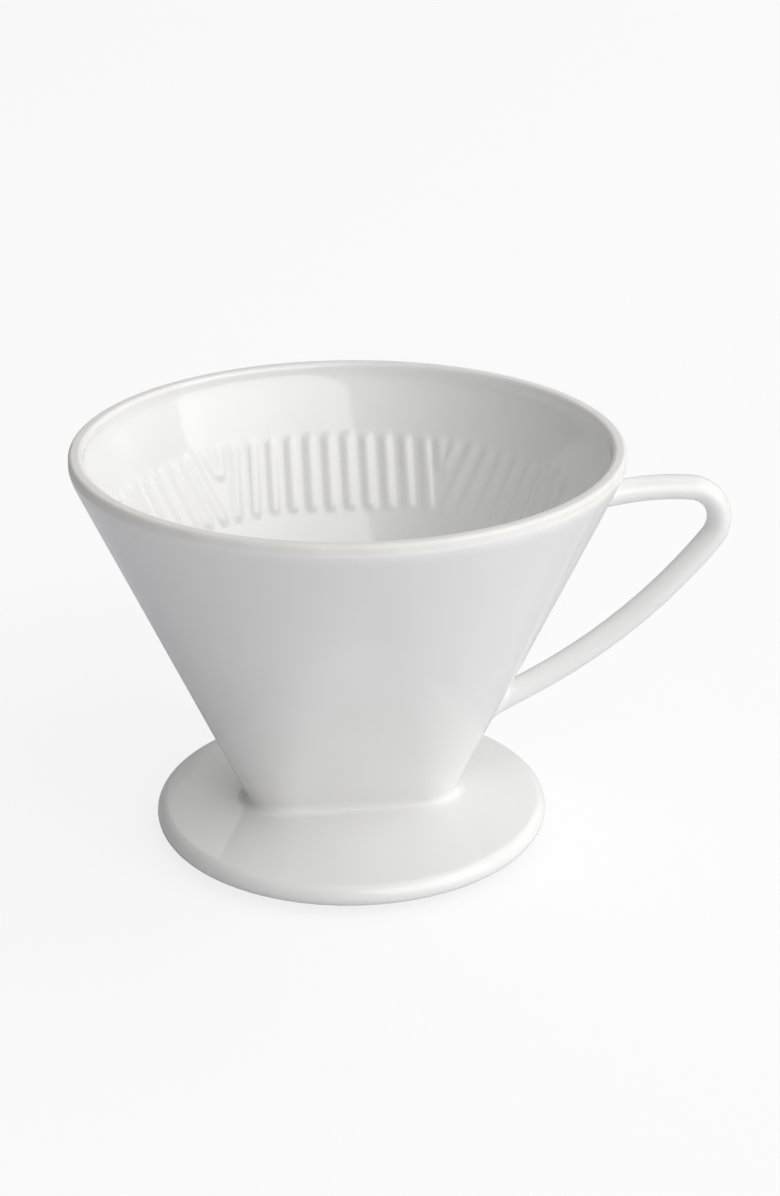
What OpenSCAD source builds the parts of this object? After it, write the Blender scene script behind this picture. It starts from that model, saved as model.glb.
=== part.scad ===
// Porcelain pour over dripper: a wedge-shaped filter funnel on a round saucer, with a loop handle.
// Millimetres. +Z is up and +X points along the funnel's long foot, towards the handle.
// The origin is the centre of the face that the dripper rests on.

/* [Funnel] */
// Outside diameter of the mouth
mouth_d = 135; // [125:1:145]
// Height of the mouth's edge above the underside of the plate
mouth_height = 101; // [95:1:110]
// Thickness of the funnel's wall
wall = 3.5; // [3:0.1:4]
// Outside length of the funnel's foot, where it meets the plate
foot_length = 53; // [50:1:58]
// Outside width of the funnel's foot, where it meets the plate
foot_width = 18; // [17:0.5:20]
// Height of the rounded, unglazed edge of the mouth
lip_height = 3.5; // [3:0.1:4]

/* [Drain] */
// Thickness of the funnel's floor
floor_t = 3; // [2.5:0.1:4]
// Diameter of each drip hole
drip_hole_d = 4; // [3:0.1:4.5]
// Number of drip holes along the floor
drip_holes = 3; // [1:2:3]
// Distance between drip holes
drip_pitch = 14; // [12:0.5:16]
// Width of the slot through the plate under the holes
drain_slot_width = 9; // [8:0.5:10]

/* [Ribs] */
// Distance between neighbouring upright ribs
rib_pitch = 5.1; // [5:0.05:5.4]
// Width of a rib
rib_width = 2.4; // [2:0.1:3]
// How far a rib stands out from the wall
rib_depth = 0.9; // [0.6:0.1:1.1]
// Height of the lower end of the ribs above the underside of the plate
rib_low = 65; // [60:1:68]
// Height of the upper end of the ribs above the underside of the plate
rib_high = 85.5; // [82:0.5:88]

/* [Saucer] */
// Diameter of the plate
plate_d = 100; // [95:1:110]
// Thickness of the plate
plate_t = 5.5; // [5:0.1:6.5]
// Outside diameter of the ring under the plate
ring_d = 64; // [60:1:70]
// Height of the ring under the plate
ring_h = 2.5; // [2:0.1:3]
// Width of the ring's resting face
ring_w = 4; // [3:0.5:5]
// How far the slip fillet spreads from the funnel's foot
fillet = 3; // [2:0.5:4]

/* [Handle] */
// Thickness of the handle, seen from the side
handle_t = 6; // [5.5:0.1:6.5]
// Width of the handle, seen from above
handle_w = 8; // [7:0.1:9]
// Radius of the gentle arch at the top of the handle
arch_r = 70; // [65:1:75]
// Radius of the tight bend at the outer end
bend_r = 8.5; // [8:0.1:9]
// Radius of the long sweep back to the funnel
sweep_r = 140; // [130:1:150]

/* [Hidden] */

glaze_white = [0.91, 0.92, 0.93];
bare_clay = [0.89, 0.87, 0.83];
round_facets = 96;
rib_facets = 12;
hole_facets = 32;
arc_steps = 12;
clear = 1; // a cutting shape runs this far past what it cuts
sliver = 0.01; // thickness of the slices that a hull joins

// Heights of the main faces
plate_z = ring_h;
foot_z = plate_z + plate_t;
lip_z = plate_z + mouth_height - lip_height;
lip_r = mouth_d / 2;
lip_outer_round = 1;
lip_inner_round = 1.2;

// The funnel's plan at any height is a slot: two arcs of radius slot_r, centred slot_c to each side.
foot_r = foot_width / 2;
foot_c = foot_length / 2 - foot_r;
function rise(z) = (z - foot_z) / (lip_z - foot_z);
function slot_c(z) = max(0, foot_c * (1 - rise(z)));
function slot_r(z) = foot_r + (lip_r - foot_r) * rise(z);

// The point of the funnel's plan at height z, shrunk by inset: with a given x, or in a given direction
function point_at_x(x, z, inset) =
    let (r = slot_r(z) - inset, across = max(0, abs(x) - slot_c(z)))
    [x, sqrt(r * r - across * across), z];
function point_at_angle(angle, z, inset) =
    let (r = slot_r(z) - inset)
    [slot_c(z) + r * cos(angle), r * sin(angle), z];

// A rib is a round bar sunk in the wall so that rib_depth of it shows, rib_width across.
rib_r = (rib_width * rib_width / 4 + rib_depth * rib_depth) / (2 * rib_depth);
rib_inset = wall - (rib_r - rib_depth);
rib_z0 = plate_z + rib_low + rib_width / 2;
rib_z1 = plate_z + rib_high - rib_width / 2;
// Upright ribs on each side of the middle one
upright_ribs = 5;
// Slanted ribs in each quarter. They keep the same pitch along the wall. The first one's line goes through
// two angles around the end of the funnel, but it is short and meets a short upright rib in a V.
slanted_ribs = 9;
first_low_angle = 65.7;
first_high_angle = 55.8;
short_rib_pitches = 5.75;
short_rib_drop = 7.8;
short_rib_x = short_rib_pitches * rib_pitch;
short_rib_z = rib_z1 - short_rib_drop;
function first_angle(z) =
    first_high_angle + (first_low_angle - first_high_angle) * (rib_z1 - z) / (rib_z1 - rib_z0);
function slanted_point(i, z) =
    point_at_angle(first_angle(z) - i * rib_pitch / (slot_r(z) - wall) * 180 / PI, z, rib_inset);

// The handle's centre line: an arch, a bend and a sweep, end to end, each turning clockwise in the XZ plane
arch_gap = 0.5; // the arch starts this far outside the mouth's edge
arch_drop = 12.4; // and this far below the top of the glazed wall
arch_start = [lip_r + arch_gap, lip_z - arch_drop];
arch_dir = 8.5;
arch_turn = 14.5;
bend_turn = 122;
sweep_turn = 24;
// Each root runs from inside the wall to one end of the centre line, and is larger at the wall.
root_flare = 1.3;
upper_root_reach = 10;
lower_root_reach = 13;
section_sides = 24;
arch_steps = 4;
bend_steps = 12;
sweep_steps = 8;

// The point of a clockwise arc after a turn, and the arcs' starts, ends and directions
function on_arc(start, dir, turn, r) =
    start + r * [sin(dir) - sin(dir - turn), cos(dir - turn) - cos(dir)];
bend_dir = arch_dir - arch_turn;
sweep_dir = bend_dir - bend_turn;
end_dir = sweep_dir - sweep_turn;
bend_start = on_arc(arch_start, arch_dir, arch_turn, arch_r);
sweep_start = on_arc(bend_start, bend_dir, bend_turn, bend_r);
sweep_end = on_arc(sweep_start, sweep_dir, sweep_turn, sweep_r);

// Stations along the centre line, each a point and a direction, and the ring of the handle's section at one
function arc_stations(start, dir, turn, r, steps) =
    [for (i = [1 : steps])
        let (turned = turn * i / steps)
        [on_arc(start, dir, turned, r), dir - turned]];
handle_stations = concat(
    [[arch_start, arch_dir]],
    arc_stations(arch_start, arch_dir, arch_turn, arch_r, arch_steps),
    arc_stations(bend_start, bend_dir, bend_turn, bend_r, bend_steps),
    arc_stations(sweep_start, sweep_dir, sweep_turn, sweep_r, sweep_steps)
);
function handle_ring(station) =
    let (point = station[0], dir = station[1])
    [for (k = [0 : section_sides - 1])
        let (
            angle = k * 360 / section_sides,
            up = handle_t / 2 * cos(angle),
            across = handle_w / 2 * sin(angle)
        )
        [point[0] - up * sin(dir), across, point[1] + up * cos(dir)]];

// A thin slice of the funnel's plan at height z, shrunk by inset
module funnel_slice(z, inset) {
    for (side = [-1, 1])
        translate([side * slot_c(z), 0, z])
            cylinder(h = sliver, r = slot_r(z) - inset, $fn = round_facets);
}

// The funnel as one solid, shrunk by inset. It runs past the wall's foot, and past its top by a sliver.
module funnel_solid(inset) {
    hull() {
        funnel_slice(foot_z - clear, inset);
        funnel_slice(lip_z, inset);
    }
}

// Everything between two heights
module level_slab(z_low, z_high) {
    translate([-plate_d, -plate_d, z_low])
        cube([2 * plate_d, 2 * plate_d, z_high - z_low]);
}

module cone_wall() {
    color(glaze_white)
    intersection() {
        level_slab(foot_z, lip_z);
        difference() {
            funnel_solid(0);
            funnel_solid(wall);
        }
    }
}

// Points along an arc, counterclockwise
function arc_points(centre, r, start, turn) =
    [for (i = [0 : arc_steps])
        let (angle = start + turn * i / arc_steps)
        centre + r * [cos(angle), sin(angle)]];

// The unglazed edge of the mouth: upright, with a flat ground top and rounded corners
module rim_lip() {
    outer_centre = [lip_r - lip_outer_round, lip_height - lip_outer_round];
    inner_centre = [lip_r - wall + lip_inner_round, lip_height - lip_inner_round];
    color(bare_clay)
    translate([0, 0, lip_z])
    rotate_extrude($fn = round_facets)
        polygon(concat(
            [[lip_r - wall, 0], [lip_r, 0]],
            arc_points(outer_centre, lip_outer_round, 0, 90),
            arc_points(inner_centre, lip_inner_round, 90, 90)
        ));
}

module cone_floor() {
    color(glaze_white)
    difference() {
        intersection() {
            level_slab(foot_z, foot_z + floor_t);
            funnel_solid(wall);
        }
        for (i = [0 : drip_holes - 1])
            translate([(i - (drip_holes - 1) / 2) * drip_pitch, 0, foot_z - clear])
                cylinder(h = floor_t + 2 * clear, d = drip_hole_d, $fn = hole_facets);
    }
}

// A round-ended bar between two points
module rib(low, high) {
    hull()
        for (end = [low, high])
            translate(end) sphere(r = rib_r, $fn = rib_facets);
}

// An upright rib at x, from height z_low to the top of the ribs
module upright_rib(x, z_low) {
    rib(point_at_x(x, z_low, rib_inset), point_at_x(x, rib_z1, rib_inset));
}

// Upright ribs in the middle of the back wall
module upright_group() {
    color(glaze_white)
    intersection() {
        funnel_solid(wall);
        for (i = [-upright_ribs : upright_ribs])
            upright_rib(i * rib_pitch, rib_z0);
    }
}

// Slanted ribs around the back of the +X end, and the short upright rib that the first one meets
module slanted_group() {
    color(glaze_white)
    intersection() {
        funnel_solid(wall);
        union() {
            upright_rib(short_rib_x, short_rib_z);
            for (i = [0 : slanted_ribs - 1])
                rib(slanted_point(i, i == 0 ? short_rib_z : rib_z0), slanted_point(i, rib_z1));
        }
    }
}

module ribs_back() upright_group();
module ribs_front() mirror([0, 1, 0]) upright_group();
module ribs_back_right() slanted_group();
module ribs_back_left() mirror([1, 0, 0]) slanted_group();
module ribs_front_right() mirror([0, 1, 0]) slanted_group();
module ribs_front_left() rotate(180) slanted_group();

// A slot shape: two arcs of radius r, centred c to each side
module slot(c, r) {
    square([2 * c, 2 * r], center = true);
    for (side = [-1, 1])
        translate([side * c, 0]) circle(r = r, $fn = round_facets);
}

// A flat disc with a fully rounded edge and the drain slot through it
module base_plate() {
    edge_r = plate_t / 2;
    color(glaze_white)
    translate([0, 0, plate_z])
    difference() {
        rotate_extrude($fn = round_facets)
            polygon(concat(
                [[0, 0]],
                arc_points([plate_d / 2 - edge_r, edge_r], edge_r, -90, 180),
                [[0, plate_t]]
            ));
        translate([0, 0, -clear])
            linear_extrude(plate_t + 2 * clear)
                slot(foot_c, drain_slot_width / 2);
    }
}

module plate_ring() {
    color(bare_clay)
    rotate_extrude($fn = round_facets)
        translate([ring_d / 2 - ring_w, 0]) square([ring_w, ring_h]);
}

// Slip around the funnel's foot, spreading onto the plate
module foot_fillet() {
    color(glaze_white)
    difference() {
        hull() {
            for (side = [-1, 1])
                translate([side * foot_c, 0, foot_z])
                    cylinder(h = sliver, r = foot_r + fillet, $fn = round_facets);
            funnel_slice(foot_z + fillet, 0);
        }
        funnel_solid(0);
    }
}

// Outline of the handle's section: its thickness along X and its width along Y
module handle_section(scale_up) {
    step = 360 / section_sides;
    polygon([for (i = [0 : section_sides - 1])
        scale_up / 2 * [handle_t * cos(i * step), handle_w * sin(i * step)]]);
}

// The loop from one root to the other: the section swept along the three arcs
module handle() {
    rings = len(handle_stations);
    points = [for (station = handle_stations) each handle_ring(station)];
    sides = [for (i = [0 : rings - 2], k = [0 : section_sides - 1])
        let (next = (k + 1) % section_sides, here = i * section_sides, there = here + section_sides)
        [here + k, here + next, there + next, there + k]];
    caps = [
        [for (k = [section_sides - 1 : -1 : 0]) k],
        [for (k = [0 : section_sides - 1]) (rings - 1) * section_sides + k]
    ];
    color(glaze_white) polyhedron(points, concat(sides, caps));
}

// A thin slice of the handle, square to the direction dir, just past the point
module handle_slice(point, dir, scale_up) {
    translate([point[0], 0, point[1]])
    rotate([0, 90 - dir, 0])
    linear_extrude(sliver)
        handle_section(scale_up);
}

// The flared end of the handle, from one end of the centre line back into the wall
module handle_root(point, dir, reach) {
    color(glaze_white)
    difference() {
        hull() {
            handle_slice(point, dir, 1);
            handle_slice(point + reach * [cos(dir), sin(dir)], dir, root_flare);
        }
        funnel_solid(0);
    }
}

module handle_upper_root() handle_root(arch_start, arch_dir + 180, upper_root_reach);
module handle_lower_root() handle_root(sweep_end, end_dir, lower_root_reach);

cone_wall();
rim_lip();
cone_floor();
ribs_back();
ribs_front();
ribs_back_left();
ribs_back_right();
ribs_front_left();
ribs_front_right();
base_plate();
plate_ring();
foot_fillet();
handle();
handle_upper_root();
handle_lower_root();
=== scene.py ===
import math

import bmesh
import bpy
import numpy as np
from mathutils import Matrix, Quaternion, Vector


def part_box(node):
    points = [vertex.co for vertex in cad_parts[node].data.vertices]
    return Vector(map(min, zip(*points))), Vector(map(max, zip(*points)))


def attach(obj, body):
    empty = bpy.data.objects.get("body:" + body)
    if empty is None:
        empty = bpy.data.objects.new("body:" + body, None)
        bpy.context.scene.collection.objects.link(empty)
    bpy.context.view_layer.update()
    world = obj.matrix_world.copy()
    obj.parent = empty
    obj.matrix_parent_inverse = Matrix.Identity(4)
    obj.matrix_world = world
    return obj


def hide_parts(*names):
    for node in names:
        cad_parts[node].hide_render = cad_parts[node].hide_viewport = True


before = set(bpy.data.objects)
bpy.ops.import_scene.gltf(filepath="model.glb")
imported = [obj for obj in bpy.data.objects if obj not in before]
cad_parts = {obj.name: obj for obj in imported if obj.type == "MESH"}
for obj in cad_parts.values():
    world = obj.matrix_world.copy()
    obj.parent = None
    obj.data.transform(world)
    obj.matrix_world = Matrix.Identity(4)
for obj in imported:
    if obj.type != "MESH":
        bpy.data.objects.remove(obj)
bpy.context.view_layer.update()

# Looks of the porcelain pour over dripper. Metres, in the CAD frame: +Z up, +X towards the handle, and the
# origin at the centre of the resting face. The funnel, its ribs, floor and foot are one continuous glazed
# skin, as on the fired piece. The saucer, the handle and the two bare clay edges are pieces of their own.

MM = 0.001

# ---- Sizes read from the CAD nodes ---------------------------------------------------------------------

wall_low, wall_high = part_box("cone_wall")
_, lip_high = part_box("rim_lip")
_, floor_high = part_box("cone_floor")
_, fillet_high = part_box("foot_fillet")
plate_low, plate_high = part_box("base_plate")
ring_low, ring_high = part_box("plate_ring")
rib_low, rib_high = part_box("ribs_back")
loop_low, loop_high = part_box("handle")

FOOT_Z = wall_low.z
LIP_Z = wall_high.z
FUNNEL_H = LIP_Z - FOOT_Z
MOUTH_R = lip_high.x
FILLET = fillet_high.z - FOOT_Z
FOOT_R = fillet_high.y - FILLET
FOOT_C = fillet_high.x - fillet_high.y
FLOOR_Z = floor_high.z

# ---- Sizes of the details ------------------------------------------------------------------------------

RIB_PITCH = 5.1 * MM
RIB_WIDTH = 4.8 * MM  # measured where the rib's soft flanks run out into the wall
RIB_DEPTH = 0.78 * MM
UPRIGHT_RIBS = 5  # on each side of the middle one
SHORT_RIB_X = 5.75 * RIB_PITCH
SHORT_RIB_DROP = 7.8 * MM
SLANTED_RIBS = 9
FIRST_SLANTED_LOW = 65.7  # angles around the end of the funnel that the first slanted rib's line goes through
FIRST_SLANTED_HIGH = 55.8
RIB_END = 1.2 * MM  # from the end of a rib's centre line to its tip
RIB_FADE = 3.5 * MM  # a rib rises to its full depth over this length from its tip

DRIP_HOLES = 3
DRIP_PITCH = 14 * MM
DRIP_R = 2 * MM
DRIP_ROUND = 0.7 * MM
DRIP_SIDES = 48
FLOOR_ROUND = 2.2 * MM

DRAIN_R = 4.5 * MM
SLOT_ROUND = 0.8 * MM
RING_WIDTH = 4 * MM
RING_ROUND = 0.8 * MM
SUNK = 0.3 * MM  # how far a piece is sunk into the one that it is fused to
SHOULDER = 2.4 * MM  # the wall starts to turn upright this far below the lip
LIP_OUT_ROUND = 1 * MM
LIP_IN_ROUND = 1.2 * MM
GLAZE_OUT_Z = LIP_Z + 1.3 * MM  # the glaze ends here on the lip's outer side
GLAZE_IN_ANGLE = 35  # and this far, in degrees, around the lip's inner corner from its flat top
GLAZE_STEP = 0.06 * MM  # the glaze stands this far proud of the bare clay

HANDLE_T = 6 * MM
HANDLE_W = loop_high.y - loop_low.y
HANDLE_START = 8.5
HANDLE_ARCS = ((70 * MM, 14.5), (8.5 * MM, 122), (140 * MM, 24))
HANDLE_SIDES = 48
ROOT_FILLET = 4 * MM
ROOT_REACH = 40 * MM  # the wall lies nearer than this to each end of the loop
HALVINGS = 40  # of that distance, to find the wall

# Numbers of facets around the pieces, and of rows of quads up the funnel's wall
WALL_SIDES = 960
ROUND_SIDES = 360
OUTER_ROWS = 40
UPPER_ROWS = 10
RIB_ROWS = 64
LOWER_ROWS = 36
SHARP_ANGLE = 40  # degrees


# ---- The funnel's plan ---------------------------------------------------------------------------------
# At any height the plan is a slot: two arcs of radius slot_r, centred slot_c to each side of the middle.

def rise(z):
    return (z - FOOT_Z) / FUNNEL_H


def slot_c(z):
    return FOOT_C * np.clip(1 - rise(z), 0, None)


def slot_r(z):
    return FOOT_R + (MOUTH_R - FOOT_R) * rise(z)


WALL = slot_r(FLOOR_Z) - floor_high.y


def slot_edge(angle, centre, radius):
    """Distance from the middle of a slot to its edge, in a direction: straight sides, then round ends."""
    along = np.abs(np.cos(angle))
    across = np.abs(np.sin(angle))
    side = radius / np.maximum(across, 1e-9)
    end = centre * along + np.sqrt(np.maximum(radius ** 2 - (centre * across) ** 2, 0))
    return np.where(side * along <= centre, side, end)


def ring_of(angles, reach, z):
    """A ring of points at a distance from the axis in each direction, at a height."""
    heights = np.broadcast_to(z, angles.shape)
    return np.stack([reach * np.cos(angles), reach * np.sin(angles), heights], axis=-1)


def funnel_ring(angles, z, inset):
    """A ring on the funnel's outer surface, or inset from it."""
    return ring_of(angles, slot_edge(angles, slot_c(z), slot_r(z) - inset), z)


def full_turn(sides):
    return np.arange(sides) * 2 * math.pi / sides


def bezier(start, corner, end, steps):
    """Rings along a soft corner, from start to end."""
    return [
        (1 - t) ** 2 * start + 2 * t * (1 - t) * corner + t ** 2 * end
        for t in np.linspace(0, 1, steps + 1)
    ]


# ---- Mesh helpers --------------------------------------------------------------------------------------

def add_ring(bm, ring):
    return [bm.verts.new(point) for point in ring]


def bridge(bm, ring_a, ring_b):
    """Quads between two rings of the same number of vertices."""
    count = len(ring_a)
    for i in range(count):
        j = (i + 1) % count
        bm.faces.new((ring_a[i], ring_a[j], ring_b[j], ring_b[i]))


def skin(bm, rings):
    """Vertices for each ring of points, and quads from ring to ring."""
    made = [add_ring(bm, ring) for ring in rings]
    for ring_a, ring_b in zip(made, made[1:]):
        bridge(bm, ring_a, ring_b)
    return made


def fill(bm, loops):
    """A flat face inside the first loop with the other loops as its holes."""
    edges = []
    for loop in loops:
        for i, vert in enumerate(loop):
            ends = (vert, loop[(i + 1) % len(loop)])
            edges.append(bm.edges.get(ends) or bm.edges.new(ends))
    bmesh.ops.triangle_fill(bm, use_beauty=True, use_dissolve=False, edges=edges)


def finish_piece(bm, name, material, slot, *nodes):
    """Turns a bmesh into a smooth-shaded piece that stands for CAD nodes."""
    bmesh.ops.recalc_face_normals(bm, faces=bm.faces)
    mesh = bpy.data.meshes.new(name)
    bm.to_mesh(mesh)
    bm.free()
    mesh.shade_smooth()
    mesh.set_sharp_from_angle(angle=math.radians(SHARP_ANGLE))
    mesh.materials.append(material)
    piece = bpy.data.objects.new(name, mesh)
    bpy.context.scene.collection.objects.link(piece)
    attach(piece, "root")
    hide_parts(*nodes)
    return piece


def turned(profile, sides):
    """Rings of a turned shape, from a profile of (radius, height) points."""
    angles = full_turn(sides)
    return [ring_of(angles, radius, z) for radius, z in profile]


def arc(centre, radius, start, turn, steps):
    """Points (radius, height) along an arc of a turned profile, in degrees."""
    return [
        (
            centre[0] + radius * math.cos(math.radians(start + turn * i / steps)),
            centre[1] + radius * math.sin(math.radians(start + turn * i / steps)),
        )
        for i in range(steps + 1)
    ]


# ---- Materials -----------------------------------------------------------------------------------------

def add_node(tree, kind, **inputs):
    """A node with its input sockets set by name: a number, a colour or another node's output."""
    node = tree.nodes.new(kind)
    for name, value in inputs.items():
        socket = node.inputs[name.replace("_", " ")]
        if isinstance(value, bpy.types.NodeSocket):
            tree.links.new(value, socket)
        else:
            socket.default_value = value
    return node


def add_ramp(tree, factor, stops):
    """A colour ramp through (position, colour) stops, driven by a factor."""
    ramp = add_node(tree, "ShaderNodeValToRGB", Fac=factor)
    elements = ramp.color_ramp.elements
    while len(elements) < len(stops):
        elements.new(0.5)
    for element, (position, colour) in zip(elements, stops):
        element.position = position
        element.color = (*colour, 1)
    return ramp.outputs["Color"]


def gray(value):
    return (value, value, value)


def noise(tree, place, size, detail):
    """Noise whose blotches are about size across."""
    node = add_node(tree, "ShaderNodeTexNoise", Vector=place, Scale=1 / size, Detail=detail)
    return node.outputs["Fac"]


def bump(tree, height, depth, normal=None):
    node = add_node(tree, "ShaderNodeBump", Height=height, Strength=1.0, Distance=depth)
    if normal:
        tree.links.new(normal, node.inputs["Normal"])
    return node.outputs["Normal"]


def new_material(name):
    material = bpy.data.materials.new(name)
    material.use_nodes = True
    tree = material.node_tree
    shader = tree.nodes["Principled BSDF"]
    place = tree.nodes.new("ShaderNodeTexCoord").outputs["Object"]
    return material, tree, shader, place


def specks(tree, place, cell, radius, share):
    """A factor that is 1 on tiny round specks, in a share of cells of the given size, and 0 elsewhere."""
    cells = add_node(tree, "ShaderNodeTexVoronoi", Vector=place, Scale=1 / cell)
    near = tree.nodes.new("ShaderNodeMapRange")
    tree.links.new(cells.outputs["Distance"], near.inputs["Value"])
    near.inputs["From Min"].default_value = radius / cell
    near.inputs["From Max"].default_value = 0.4 * radius / cell
    pick = tree.nodes.new("ShaderNodeMath")
    pick.operation = "LESS_THAN"
    tree.links.new(cells.outputs["Color"], pick.inputs[0])
    pick.inputs[1].default_value = share
    both = tree.nodes.new("ShaderNodeMath")
    both.operation = "MULTIPLY"
    tree.links.new(near.outputs["Result"], both.inputs[0])
    tree.links.new(pick.outputs[0], both.inputs[1])
    return both.outputs[0]


def make_glaze():
    """Clear glossy glaze over white porcelain: faint clouding, a few pin specks, soft ripples."""
    material, tree, shader, place = new_material("glaze")
    clouds = add_ramp(
        tree, noise(tree, place, 35 * MM, 3),
        [(0.35, (0.866, 0.865, 0.853)), (0.65, (0.886, 0.885, 0.875))],
    )
    spots = add_node(tree, "ShaderNodeMix", Factor=specks(tree, place, 11 * MM, 0.16 * MM, 0.16))
    spots.data_type = "RGBA"
    tree.links.new(clouds, spots.inputs[6])
    spots.inputs[7].default_value = (0.60, 0.57, 0.52, 1)
    tree.links.new(spots.outputs[2], shader.inputs["Base Color"])
    sheen = add_ramp(tree, noise(tree, place, 12 * MM, 4), [(0.3, gray(0.07)), (0.7, gray(0.13))])
    tree.links.new(sheen, shader.inputs["Roughness"])
    ripple = bump(tree, noise(tree, place, 18 * MM, 1), 0.10 * MM)
    peel = bump(tree, noise(tree, place, 1.6 * MM, 2), 0.004 * MM, ripple)
    tree.links.new(peel, shader.inputs["Normal"])
    shader.inputs["IOR"].default_value = 1.52
    shader.inputs["Coat Weight"].default_value = 0.25
    shader.inputs["Coat Roughness"].default_value = 0.03
    return material


def make_bare_clay():
    """Unglazed porcelain, ground smooth: warm, satin, with a fine grain and a little staining."""
    material, tree, shader, place = new_material("bare_clay")
    tone = add_ramp(
        tree, noise(tree, place, 9 * MM, 5),
        [(0.3, (0.82, 0.805, 0.775)), (0.7, (0.87, 0.858, 0.832))],
    )
    tree.links.new(tone, shader.inputs["Base Color"])
    satin = add_ramp(tree, noise(tree, place, 2.5 * MM, 4), [(0.3, gray(0.42)), (0.7, gray(0.60))])
    tree.links.new(satin, shader.inputs["Roughness"])
    grain = bump(tree, noise(tree, place, 0.35 * MM, 3), 0.02 * MM)
    tree.links.new(grain, shader.inputs["Normal"])
    return material


# ---- The funnel ----------------------------------------------------------------------------------------

RIB_Z0 = rib_low.z + RIB_END
RIB_Z1 = rib_high.z - RIB_END
SHORT_RIB_Z = RIB_Z1 - SHORT_RIB_DROP


def at_x(x, z):
    """The point of the inner wall's +Y side at x and z."""
    across = max(0, abs(x) - slot_c(z))
    return np.array([x, math.sqrt((slot_r(z) - WALL) ** 2 - across ** 2), z])


def at_slant(i, z):
    """The point of slanted rib i's line at z. The ribs keep the same pitch along the wall."""
    reach = slot_r(z) - WALL
    drop = (RIB_Z1 - z) / (RIB_Z1 - RIB_Z0)
    first = FIRST_SLANTED_HIGH + (FIRST_SLANTED_LOW - FIRST_SLANTED_HIGH) * drop
    angle = math.radians(first) - i * RIB_PITCH / reach
    return np.array([slot_c(z) + reach * math.cos(angle), reach * math.sin(angle), z])


def upright_ribs():
    """Centre lines of the upright ribs on the +Y side."""
    places = [i * RIB_PITCH for i in range(-UPRIGHT_RIBS, UPRIGHT_RIBS + 1)]
    return [(at_x(x, RIB_Z0), at_x(x, RIB_Z1)) for x in places]


def slanted_ribs():
    """Centre lines of the ribs around the +X end, on its +Y side. The first two are short and form a V."""
    lines = [
        (at_x(SHORT_RIB_X, SHORT_RIB_Z), at_x(SHORT_RIB_X, RIB_Z1)),
        (at_slant(0, SHORT_RIB_Z), at_slant(0, RIB_Z1)),
    ]
    lines += [(at_slant(i, RIB_Z0), at_slant(i, RIB_Z1)) for i in range(1, SLANTED_RIBS)]
    return lines


def all_ribs():
    """Every rib's centre line: the two groups, mirrored to the other sides."""
    lines = []
    for side_y in (-1, 1):
        lines += [(a * (1, side_y, 1), b * (1, side_y, 1)) for a, b in upright_ribs()]
        for side_x in (-1, 1):
            lines += [(a * (side_x, side_y, 1), b * (side_x, side_y, 1)) for a, b in slanted_ribs()]
    return lines


def soft_step(t):
    """Rises smoothly from 0 at t = 0 to 1 at t = 1."""
    return 0.5 - 0.5 * np.cos(np.clip(t, 0, 1) * math.pi)


def rib_height(points):
    """How far the ribs stand out from the wall at each point: a soft round ridge along each centre line."""
    height = np.zeros(points.shape[:-1])
    for low, high in all_ribs():
        along = high - low
        part = (points - low) @ along / (along @ along)
        nearest = low + np.clip(part, 0, 1)[..., None] * along
        away = np.linalg.norm(points - nearest, axis=-1)
        ridge = soft_step(1 - 2 * away / RIB_WIDTH)
        from_tip = np.minimum(part, 1 - part) * np.linalg.norm(along) + RIB_END
        height = np.maximum(height, RIB_DEPTH * ridge * soft_step(from_tip / RIB_FADE))
    return height


def inner_wall(angles, z):
    return funnel_ring(angles, z, WALL + rib_height(funnel_ring(angles, z, WALL)))


def foot_corner(angles):
    """The soft slip fillet between the saucer and the wall, from the saucer up."""
    spread = ring_of(angles, slot_edge(angles, FOOT_C, FOOT_R + FILLET), FOOT_Z)
    corner = funnel_ring(angles, FOOT_Z, 0)
    return bezier(spread, corner, funnel_ring(angles, FOOT_Z + FILLET, 0), 10)


def floor_corner(angles):
    """The round corner between the inner wall and the floor, from the wall down."""
    corner = funnel_ring(angles, FLOOR_Z, WALL)
    inner = funnel_ring(angles, FLOOR_Z, WALL + FLOOR_ROUND)
    return bezier(funnel_ring(angles, FLOOR_Z + FLOOR_ROUND, WALL), corner, inner, 8)


def drip_hole(bm, x, under_z):
    """A hole with rounded rims through the floor. Gives the loops at its top and its underside."""
    angles = full_turn(DRIP_SIDES)
    rim = [(DRIP_R + DRIP_ROUND, FLOOR_Z)]
    rim += arc((DRIP_R + DRIP_ROUND, FLOOR_Z - DRIP_ROUND), DRIP_ROUND, 90, 90, 6)[1:]
    rim += arc((DRIP_R + DRIP_ROUND, under_z + DRIP_ROUND), DRIP_ROUND, 180, 90, 6)
    rings = skin(bm, [ring_of(angles, radius, z) + (x, 0, 0) for radius, z in rim])
    return rings[0], rings[-1]


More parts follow.
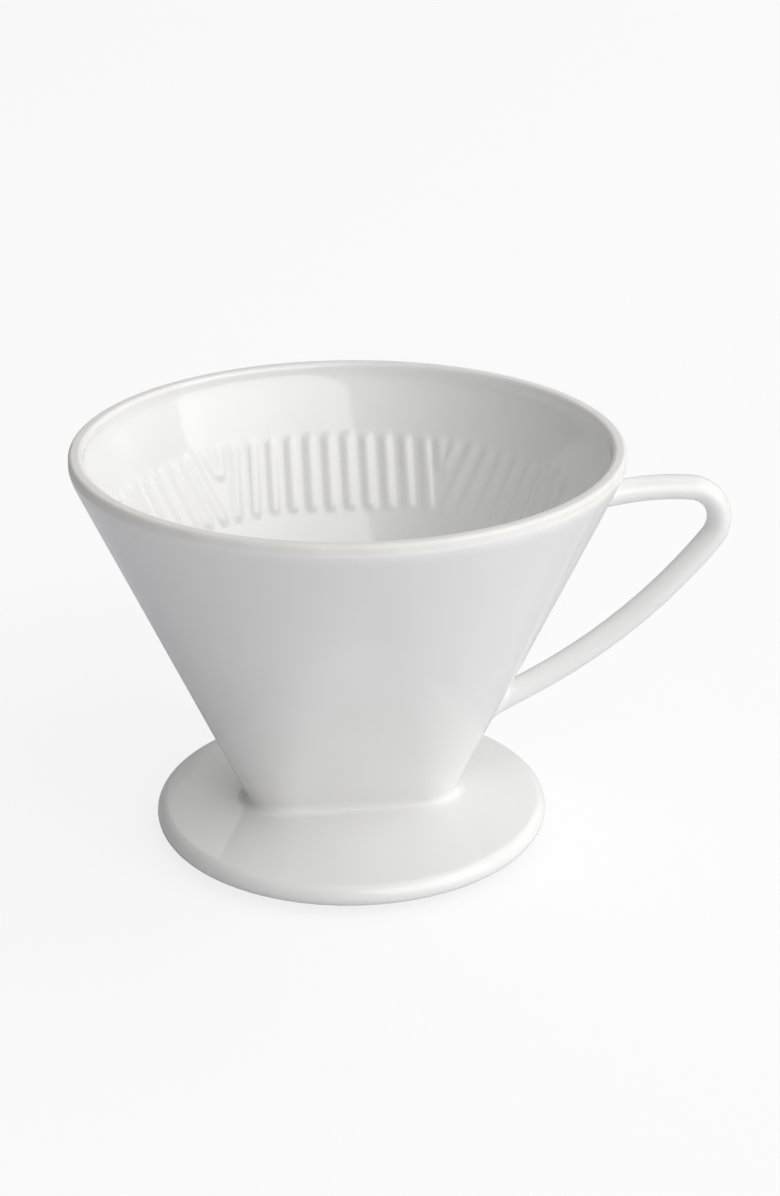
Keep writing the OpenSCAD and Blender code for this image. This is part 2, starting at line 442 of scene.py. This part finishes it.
def glazed_rim(angles):
    """Rings over the top of the wall: up its outer side, under the bare clay, and down its inner side."""
    outer = [
        (MOUTH_R, GLAZE_OUT_Z - 3 * GLAZE_STEP),
        (MOUTH_R - 0.3 * GLAZE_STEP, GLAZE_OUT_Z - GLAZE_STEP),
        (MOUTH_R - 2 * GLAZE_STEP, GLAZE_OUT_Z),
        (MOUTH_R - WALL / 2, GLAZE_OUT_Z),
    ]
    corner = (MOUTH_R - WALL + LIP_IN_ROUND, lip_high.z - LIP_IN_ROUND)
    edge = 90 + GLAZE_IN_ANGLE
    inner = arc(corner, LIP_IN_ROUND - 3 * GLAZE_STEP, edge, 0, 1)[:1]
    inner += arc(corner, LIP_IN_ROUND, edge + 3, 177 - edge, 8)
    rings = bezier(
        funnel_ring(angles, LIP_Z - SHOULDER, 0),
        ring_of(angles, MOUTH_R, LIP_Z),
        ring_of(angles, MOUTH_R, GLAZE_OUT_Z - 5 * GLAZE_STEP), 10,
    )
    rings += [ring_of(angles, radius, z) for radius, z in outer + inner]
    rings += bezier(
        ring_of(angles, MOUTH_R - WALL, LIP_Z + SHOULDER / 2),
        ring_of(angles, MOUTH_R - WALL, LIP_Z),
        funnel_ring(angles, LIP_Z - SHOULDER, WALL), 10,
    )
    return rings


def make_funnel(material):
    angles = full_turn(WALL_SIDES)
    under_z = FOOT_Z - SUNK
    outer_rows = np.linspace(FOOT_Z + FILLET, LIP_Z - SHOULDER, OUTER_ROWS)[1:-1]
    rib_top = rib_high.z + RIB_END
    rib_bottom = rib_low.z - RIB_END
    inner_rows = np.concatenate([
        np.linspace(LIP_Z - SHOULDER, rib_top, UPPER_ROWS)[1:-1],
        np.linspace(rib_top, rib_bottom, RIB_ROWS)[:-1],
        np.linspace(rib_bottom, FLOOR_Z + FLOOR_ROUND, LOWER_ROWS)[:-1],
    ])
    foot = foot_corner(angles)
    rings = [foot[0] - (0, 0, SUNK)]
    rings += foot
    rings += [funnel_ring(angles, z, 0) for z in outer_rows]
    rings += glazed_rim(angles)
    rings += [inner_wall(angles, z) for z in inner_rows]
    rings += floor_corner(angles)
    bm = bmesh.new()
    made = skin(bm, rings)
    first_x = -(DRIP_HOLES - 1) / 2 * DRIP_PITCH
    holes = [drip_hole(bm, first_x + i * DRIP_PITCH, under_z) for i in range(DRIP_HOLES)]
    fill(bm, [made[-1]] + [top for top, under in holes])
    fill(bm, [made[0]] + [under for top, under in holes])
    return finish_piece(
        bm, "funnel", material, "glaze",
        "cone_wall", "cone_floor", "foot_fillet", "ribs_back", "ribs_front",
        "ribs_back_left", "ribs_back_right", "ribs_front_left", "ribs_front_right",
    )


def make_lip(material):
    """The unglazed edge of the mouth: its flat ground top and corners, a hair below the glaze beside them."""
    outer = MOUTH_R - GLAZE_STEP
    inner = MOUTH_R - WALL + GLAZE_STEP
    buried_z = GLAZE_OUT_Z - SUNK
    profile = [(MOUTH_R - WALL / 2, buried_z), (outer, buried_z)]
    profile += arc((outer - LIP_OUT_ROUND, lip_high.z - LIP_OUT_ROUND), LIP_OUT_ROUND, 0, 90, 10)
    profile += arc(
        (inner + LIP_IN_ROUND, lip_high.z - LIP_IN_ROUND), LIP_IN_ROUND, 90, GLAZE_IN_ANGLE + 12, 8
    )
    bm = bmesh.new()
    made = skin(bm, turned(profile, WALL_SIDES // 2))
    bridge(bm, made[-1], made[0])
    return finish_piece(bm, "rim_lip_bare", material, "bare_clay", "rim_lip")


# ---- The saucer ----------------------------------------------------------------------------------------

def make_saucer(material):
    """The plate: flat, with a fully rounded edge and the drain slot through it."""
    angles = full_turn(ROUND_SIDES)
    edge_r = (plate_high.z - plate_low.z) / 2
    flat_r = plate_high.x - edge_r

    def slot_ring(grow, z):
        return ring_of(angles, slot_edge(angles, FOOT_C, DRAIN_R + grow), z)

    def rim_rings(centre_z, start, turn):
        rings = []
        for grow, z in arc((SLOT_ROUND, centre_z), SLOT_ROUND, start, turn, 6):
            rings.append(slot_ring(grow, z))
        return rings

    rings = rim_rings(plate_high.z - SLOT_ROUND, 180, -90)
    rings += turned(arc((flat_r, plate_low.z + edge_r), edge_r, 90, -180, 28), ROUND_SIDES)
    rings += rim_rings(plate_low.z + SLOT_ROUND, 270, -90)
    bm = bmesh.new()
    made = skin(bm, rings)
    bridge(bm, made[-1], made[0])
    return finish_piece(bm, "saucer", material, "glaze", "base_plate")


def make_foot_ring(material):
    """The unglazed ring that the dripper rests on, with its corners ground round."""
    outer = ring_high.x
    inner = outer - RING_WIDTH
    top = ring_high.z + SUNK
    corner_z = ring_low.z + RING_ROUND
    profile = [(inner, top), (outer, top)]
    profile += arc((outer - RING_ROUND, corner_z), RING_ROUND, 0, -90, 6)
    profile += arc((inner + RING_ROUND, corner_z), RING_ROUND, -90, -90, 6)
    bm = bmesh.new()
    made = skin(bm, turned(profile, ROUND_SIDES))
    bridge(bm, made[-1], made[0])
    return finish_piece(bm, "foot_ring_bare", material, "bare_clay", "plate_ring")


# ---- The handle ----------------------------------------------------------------------------------------

def centre_line():
    """Stations (x, z, heading in degrees) along the loop's three arcs, placed by the CAD loop's box."""
    stations = [(0.0, 0.0, HANDLE_START)]
    for radius, turn in HANDLE_ARCS:
        x, z, start = stations[-1]
        steps = max(12, round(turn / 4))
        a = math.radians(start)
        for i in range(1, steps + 1):
            b = math.radians(start - turn * i / steps)
            stations.append((
                x + radius * (math.sin(a) - math.sin(b)),
                z + radius * (math.cos(b) - math.cos(a)),
                math.degrees(b),
            ))
    shift_x = loop_high.x - HANDLE_T / 2 - max(x for x, _, _ in stations)
    shift_z = loop_high.z - HANDLE_T / 2 - max(z for _, z, _ in stations)
    return [(x + shift_x, z + shift_z, heading) for x, z, heading in stations]


def outward(heading):
    """Offsets from the centre of the handle's oval section to its sides, for a heading of the centre line."""
    angles = full_turn(HANDLE_SIDES)
    a = math.radians(heading)
    up = np.array([-math.sin(a), 0, math.cos(a)])
    side = np.array([0, 1, 0])
    return (
        HANDLE_T / 2 * np.cos(angles)[:, None] * up
        + HANDLE_W / 2 * np.sin(angles)[:, None] * side
    )


def section(station):
    x, z, heading = station
    return np.array([x, 0, z]) + outward(heading)


def outside(points):
    """Signed distance, seen from above, of points near the +X end from the funnel's outer surface."""
    x, y, z = points.T
    return np.hypot(x - slot_c(z), y) - slot_r(z)


def wall_normal(points):
    """Unit normals of the funnel's outer surface near its +X end."""
    x, y, z = points.T
    reach = np.hypot(x - slot_c(z), y)
    across = (x - slot_c(z)) / reach
    up = across * FOOT_C / FUNNEL_H - (MOUTH_R - FOOT_R) / FUNNEL_H
    normal = np.stack([across, y / reach, up], axis=-1)
    return normal / np.linalg.norm(normal, axis=-1, keepdims=True)


def onto_wall(points, depth):
    """Points moved level onto the funnel's outer surface, or to a depth inside it."""
    x, y, z = points.T
    scale = (slot_r(z) - depth) / np.hypot(x - slot_c(z), y)
    return np.stack([slot_c(z) + (x - slot_c(z)) * scale, y * scale, z], axis=-1)


def reach_to_wall(ring, heading):
    """How far each point of a ring has to go along heading to meet the funnel's outer surface."""
    near = np.zeros(len(ring))
    far = np.full(len(ring), ROOT_REACH)
    for _ in range(HALVINGS):
        middle = (near + far) / 2
        out = outside(ring + middle[:, None] * heading) > 0
        near = np.where(out, middle, near)
        far = np.where(out, far, middle)
    return (near + far) / 2


def root_rings(station, heading):
    """Rings from one end of the loop into the wall, with a concave fillet where they meet."""
    ring = section(station)
    reach = reach_to_wall(ring, heading)
    meet = ring + reach[:, None] * heading
    normal = wall_normal(meet)
    aside = outward(station[2])
    aside = aside / np.linalg.norm(aside, axis=-1, keepdims=True)
    tangent = aside - heading * (np.sum(aside * normal, axis=-1) / (normal @ heading))[:, None]
    tangent = tangent / np.linalg.norm(tangent, axis=-1, keepdims=True)
    leg = min(ROOT_FILLET, 0.9 * reach.min())
    foot = onto_wall(meet + leg * tangent, 0.1 * MM)
    rings = bezier(meet - leg * heading, meet, foot, 10)
    rings.append(onto_wall(meet, WALL / 2))
    return rings


def make_handle(material):
    line = centre_line()
    start = math.radians(line[0][2])
    end = math.radians(line[-1][2])
    upper = root_rings(line[0], -np.array([math.cos(start), 0, math.sin(start)]))
    lower = root_rings(line[-1], np.array([math.cos(end), 0, math.sin(end)]))
    bm = bmesh.new()
    made = skin(bm, upper[::-1] + [section(station) for station in line] + lower)
    bm.faces.new(made[0])
    bm.faces.new(made[-1])
    return finish_piece(
        bm, "handle_loop", material, "glaze", "handle", "handle_upper_root", "handle_lower_root"
    )


# ---- The studio ----------------------------------------------------------------------------------------

CAMERA_AZIMUTH = -6.6
CAMERA_ELEVATION = 23.17
CAMERA_DISTANCE = 585 * MM
CAMERA_LENS = 70.6
CAMERA_ROLL = -0.22
AIM_RIGHT = 10.1 * MM  # from the axis to the middle of the view, along the camera's right
AIM_UP = 62.45 * MM

# Softboxes: name: azimuth from the camera's own and elevation in degrees, and power in watts
SOFTBOX_SIZE = 4.0
SOFTBOX_DISTANCE = 3.0
SOFTBOX_COLOR = (1, 0.998, 0.99)
SOFTBOXES = {
    "key": (50, 30, 88.0),
    "fill": (30, 50, 6.2),
    "side": (115, 40, 20.0),
    "rear": (150, 40, 23.5),
}

WORLD_STRENGTH = 0.25
WORLD_SEEN = 0.97  # brightness of the world where the camera sees past the floor

FLOOR_SIZE = 6.0
FLOOR_GAP = 0.02 * MM  # keeps the floor's face apart from the resting face
PAPER_COLOR = (0.748, 0.747, 0.776)
# The floor looks paler than it lights the object: this share of what is seen of it is plain white
PAPER_GLOW = 0.75
PAPER_WHITE = 1.08


def direction(azimuth, elevation):
    """Unit vector towards a place seen from the object. Azimuth 0 is -Y, and 90 is +X."""
    a, e = math.radians(azimuth), math.radians(elevation)
    return Vector((math.sin(a) * math.cos(e), -math.cos(a) * math.cos(e), math.sin(e)))


def make_camera():
    data = bpy.data.cameras.new("camera")
    data.lens = CAMERA_LENS
    data.clip_start = 0.01
    data.clip_end = 50
    camera = bpy.data.objects.new("camera", data)
    bpy.context.scene.collection.objects.link(camera)
    away = direction(CAMERA_AZIMUTH, CAMERA_ELEVATION)
    right = direction(CAMERA_AZIMUTH + 90, 0)
    target = right * AIM_RIGHT + Vector((0, 0, AIM_UP))
    camera.location = target + away * CAMERA_DISTANCE
    camera.rotation_mode = "QUATERNION"
    turn = (-away).to_track_quat("-Z", "Y")
    camera.rotation_quaternion = turn @ Quaternion((0, 0, 1), math.radians(CAMERA_ROLL))
    bpy.context.scene.camera = camera


def make_softbox(name, azimuth, elevation, power):
    data = bpy.data.lights.new(name, "AREA")
    data.shape = "SQUARE"
    data.size = SOFTBOX_SIZE
    data.energy = power
    data.color = SOFTBOX_COLOR
    light = bpy.data.objects.new(name, data)
    bpy.context.scene.collection.objects.link(light)
    towards = direction(azimuth, elevation)
    light.location = Vector((0, 0, AIM_UP)) + towards * SOFTBOX_DISTANCE
    light.rotation_mode = "QUATERNION"
    light.rotation_quaternion = towards.to_track_quat("Z", "Y")


def camera_ray(tree, share):
    """A factor that is share for camera rays and 0 for all others."""
    ray = tree.nodes.new("ShaderNodeLightPath")
    scaled = tree.nodes.new("ShaderNodeMath")
    scaled.operation = "MULTIPLY"
    tree.links.new(ray.outputs["Is Camera Ray"], scaled.inputs[0])
    scaled.inputs[1].default_value = share
    return scaled.outputs[0]


def make_floor():
    bm = bmesh.new()
    bmesh.ops.create_grid(bm, x_segments=1, y_segments=1, size=FLOOR_SIZE)
    mesh = bpy.data.meshes.new("floor")
    bm.to_mesh(mesh)
    bm.free()
    material, tree, shader, place = new_material("floor_paper")
    shader.inputs["Base Color"].default_value = (*PAPER_COLOR, 1)
    shader.inputs["Roughness"].default_value = 0.9
    shader.inputs["Specular IOR Level"].default_value = 0.1
    glow = add_node(tree, "ShaderNodeEmission", Color=(*gray(PAPER_WHITE), 1))
    seen = camera_ray(tree, PAPER_GLOW)
    mix = add_node(tree, "ShaderNodeMixShader", Fac=seen)
    tree.links.new(shader.outputs[0], mix.inputs[1])
    tree.links.new(glow.outputs[0], mix.inputs[2])
    tree.links.new(mix.outputs[0], tree.nodes["Material Output"].inputs["Surface"])
    mesh.materials.append(material)
    floor = bpy.data.objects.new("floor", mesh)
    floor.location.z = ring_low.z - FLOOR_GAP
    bpy.context.scene.collection.objects.link(floor)


def make_world():
    """Soft even light from all around, and plain white where the camera sees past the floor."""
    world = bpy.data.worlds.new("studio")
    world.use_nodes = True
    tree = world.node_tree
    lit = tree.nodes["Background"]
    lit.inputs["Color"].default_value = (1, 1, 1, 1)
    lit.inputs["Strength"].default_value = WORLD_STRENGTH
    seen = add_node(tree, "ShaderNodeBackground", Color=(1, 1, 1, 1), Strength=WORLD_SEEN)
    mix = add_node(tree, "ShaderNodeMixShader", Fac=camera_ray(tree, 1))
    tree.links.new(lit.outputs[0], mix.inputs[1])
    tree.links.new(seen.outputs[0], mix.inputs[2])
    tree.links.new(mix.outputs[0], tree.nodes["World Output"].inputs["Surface"])
    bpy.context.scene.world = world


def make_studio():
    scene = bpy.context.scene
    scene.view_settings.view_transform = "Standard"
    make_world()
    make_floor()
    for name, (azimuth, elevation, power) in SOFTBOXES.items():
        make_softbox(name, CAMERA_AZIMUTH + azimuth, elevation, power)
    make_camera()


glaze = make_glaze()
bare_clay = make_bare_clay()
make_funnel(glaze)
make_lip(bare_clay)
make_saucer(glaze)
make_foot_ring(bare_clay)
make_handle(glaze)
make_studio()
